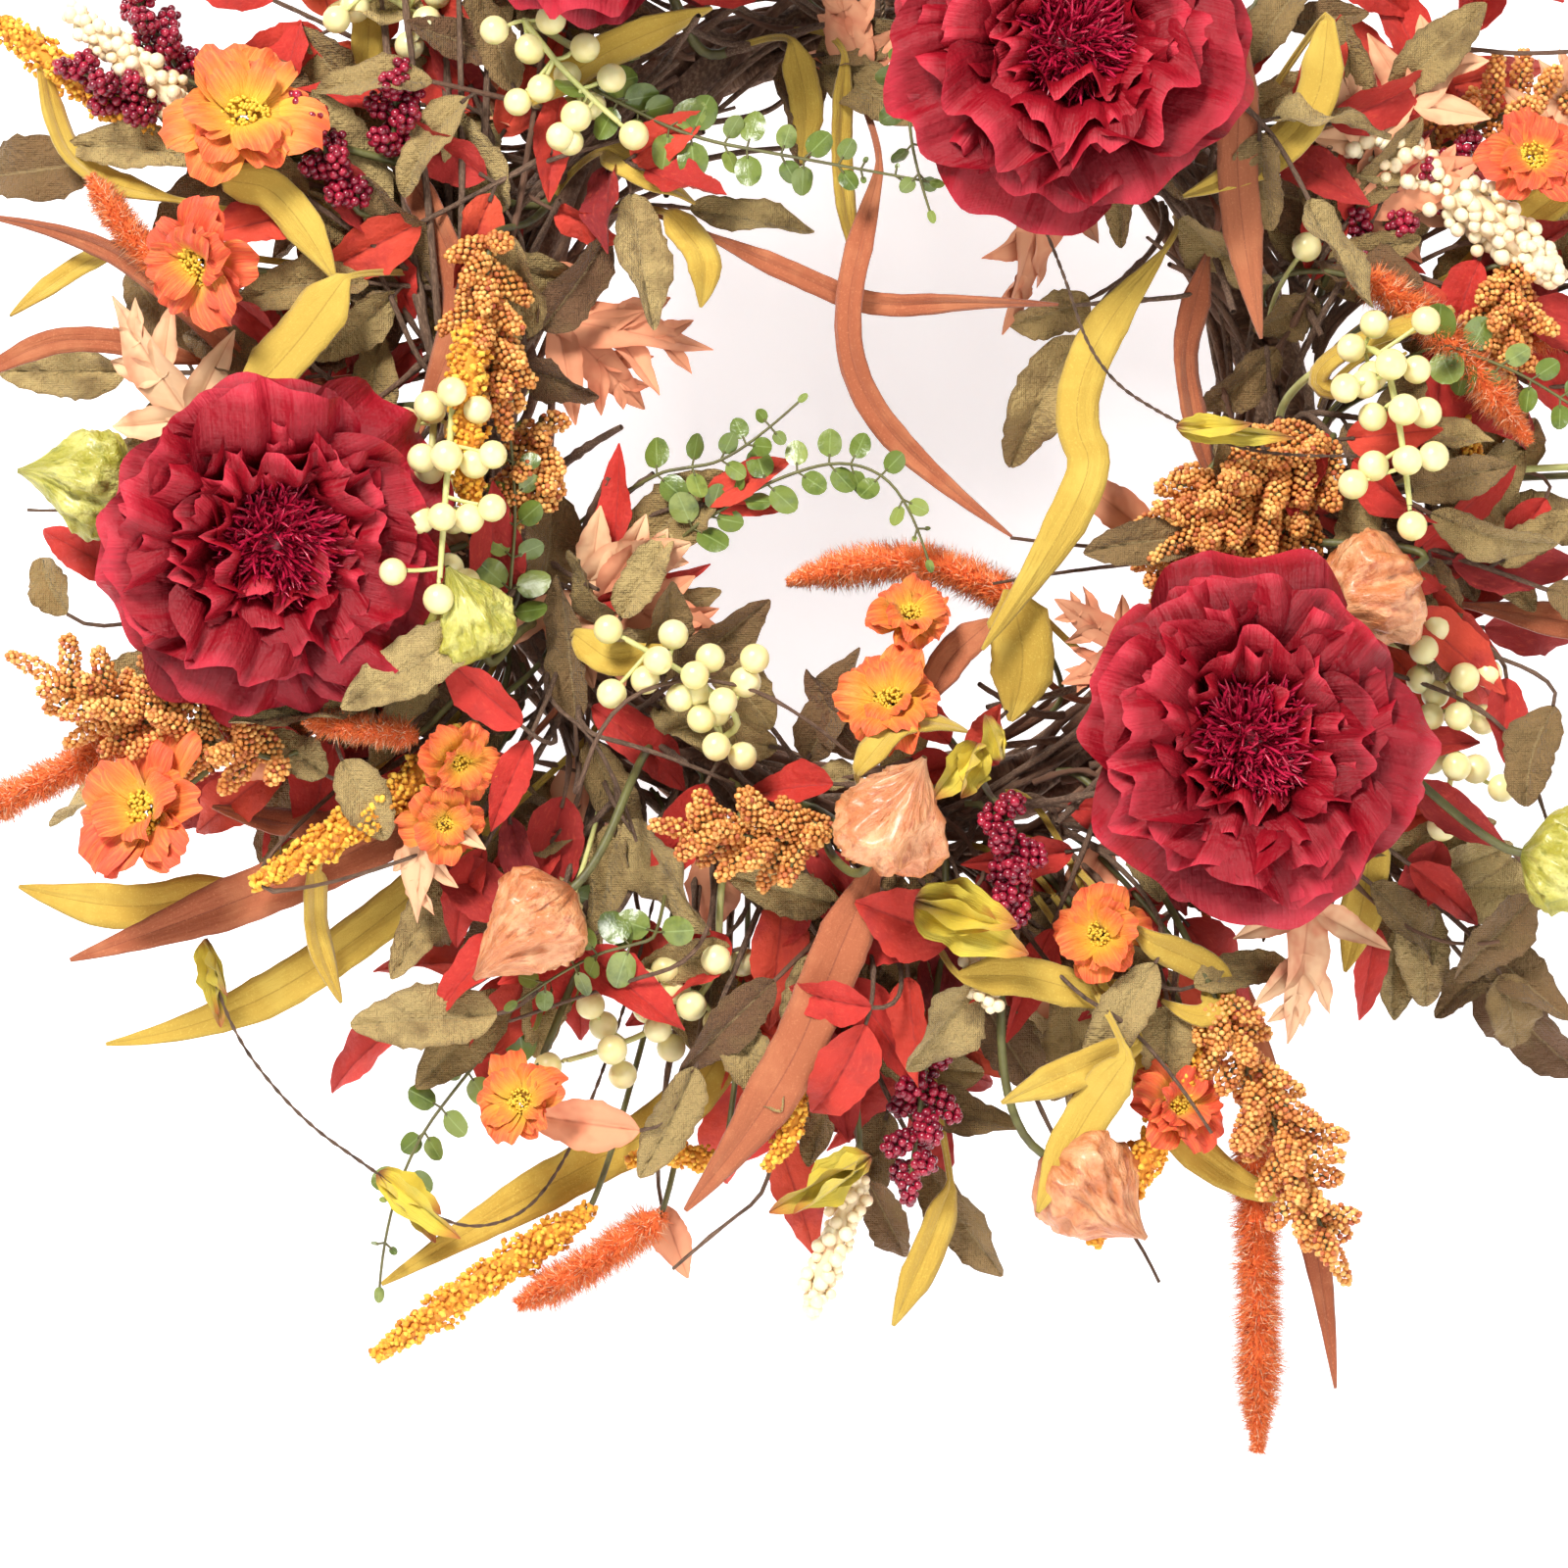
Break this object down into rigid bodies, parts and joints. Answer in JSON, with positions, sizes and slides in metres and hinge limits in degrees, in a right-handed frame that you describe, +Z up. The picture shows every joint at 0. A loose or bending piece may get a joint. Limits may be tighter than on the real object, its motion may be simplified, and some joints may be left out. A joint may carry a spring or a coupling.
{
  "type": "harvest door wreath",
  "caption": "Grapevine ring wreath dressed with crimson silk peonies, papery lantern pods, cream berries, seed heads and autumn leaf straps, hung by a wire loop at the back.",
  "frame": {"origin": "the hang point: the point of the door's face level with the inside of the top of the wire hanger loop", "axes": "+Z up, +X to the right seen from the front, the front of the wreath towards -Y and the door's face at Y = 0"},
  "size_m": [0.6763, 0.1539, 0.6907],
  "materials": {
    "grapevine": "rough dark brown bark",
    "hanger_wire": "brown florist's wire, satin",
    "peony_petal": "crimson satin, soft sheen",
    "stamen": "dark magenta filaments, glossy",
    "green_stem": "moulded green stem, matte",
    "orange_pod": "crumpled salmon-orange paper, veined",
    "green_pod": "crumpled green-yellow paper, veined",
    "orange_flower": "crinkled orange silk",
    "cream_berry": "pale cream, smooth, waxy",
    "cream_bead": "cream and peach beads",
    "burgundy_bead": "dark wine-red beads, glossy",
    "sorghum_bead": "gold, orange and red grains",
    "gold_floss": "granular gold floss",
    "orange_fuzz": "orange fuzzy bristle",
    "mustard_strap": "mustard suede cloth, matte",
    "rust_strap": "rust suede cloth, matte",
    "felt_leaf": "embossed olive-brown felt",
    "red_leaf": "red woven cloth",
    "eucalyptus_leaf": "soft green moulded leaves, semi-gloss"
  },
  "bodies": {
    "wreath": {"amaranth_spike_1": "gold_floss", "amaranth_spike_2": "gold_floss", "binding_vine_1": "grapevine", "binding_vine_2": "grapevine", "burgundy_beads_1": "burgundy_bead", "burgundy_beads_2": "burgundy_bead", "cream_bead_spike_1": "cream_bead", "cream_berries_1": "cream_berry", "cream_berries_2": "cream_berry", "cream_berries_3": "cream_berry", "cream_berries_4": "cream_berry", "cream_berries_5": "cream_berry", "eucalyptus_1": "eucalyptus_leaf", "felt_leaves_1": "felt_leaf", "felt_leaves_2": "felt_leaf", "felt_leaves_3": "felt_leaf", "felt_leaves_4": "felt_leaf", "felt_leaves_5": "felt_leaf", "foxtail_1": "orange_fuzz", "foxtail_2": "orange_fuzz", "grapevine_strand_1": "grapevine", "grapevine_strand_2": "grapevine", "grapevine_strand_3": "grapevine", "green_pod_1": "green_pod", "green_pod_2": "green_pod", "green_pod_3": "green_pod", "hanger_band": "hanger_wire", "mustard_strap_1": "mustard_strap", "mustard_strap_2": "mustard_strap", "mustard_strap_3": "mustard_strap", "mustard_strap_4": "mustard_strap", "mustard_strap_5": "mustard_strap", "orange_flower_1": "orange_flower", "orange_flower_2": "orange_flower", "orange_pod_1": "orange_pod", "orange_pod_2": "orange_pod", "orange_pod_3": "orange_pod", "orange_pod_4": "orange_pod", "peony_1_petals": "peony_petal", "peony_1_stamens": "stamen", "peony_1_stem": "green_stem", "peony_2_petals": "peony_petal", "peony_2_stamens": "stamen", "peony_2_stem": "green_stem", "peony_3_petals": "peony_petal", "peony_3_stamens": "stamen", "peony_3_stem": "green_stem", "peony_4_petals": "peony_petal", "peony_4_stamens": "stamen", "peony_4_stem": "green_stem", "red_leaves_1": "red_leaf", "red_leaves_2": "red_leaf", "red_leaves_3": "red_leaf", "rust_strap_1": "rust_strap", "rust_strap_2": "rust_strap", "rust_strap_3": "rust_strap", "sorghum_head_1": "sorghum_bead", "sorghum_head_2": "sorghum_bead", "sorghum_head_3": "sorghum_bead"},
    "hanger": {"hanger_loop": "hanger_wire"}
  },
  "joints": [
    {"name": "hanger_swing", "type": "hinge", "parent": "wreath", "child": "hanger", "pos_m": [0, -0.00742, -0.036], "axis": [1, 0, 0], "range_deg": [-80, 50]}
  ]
}
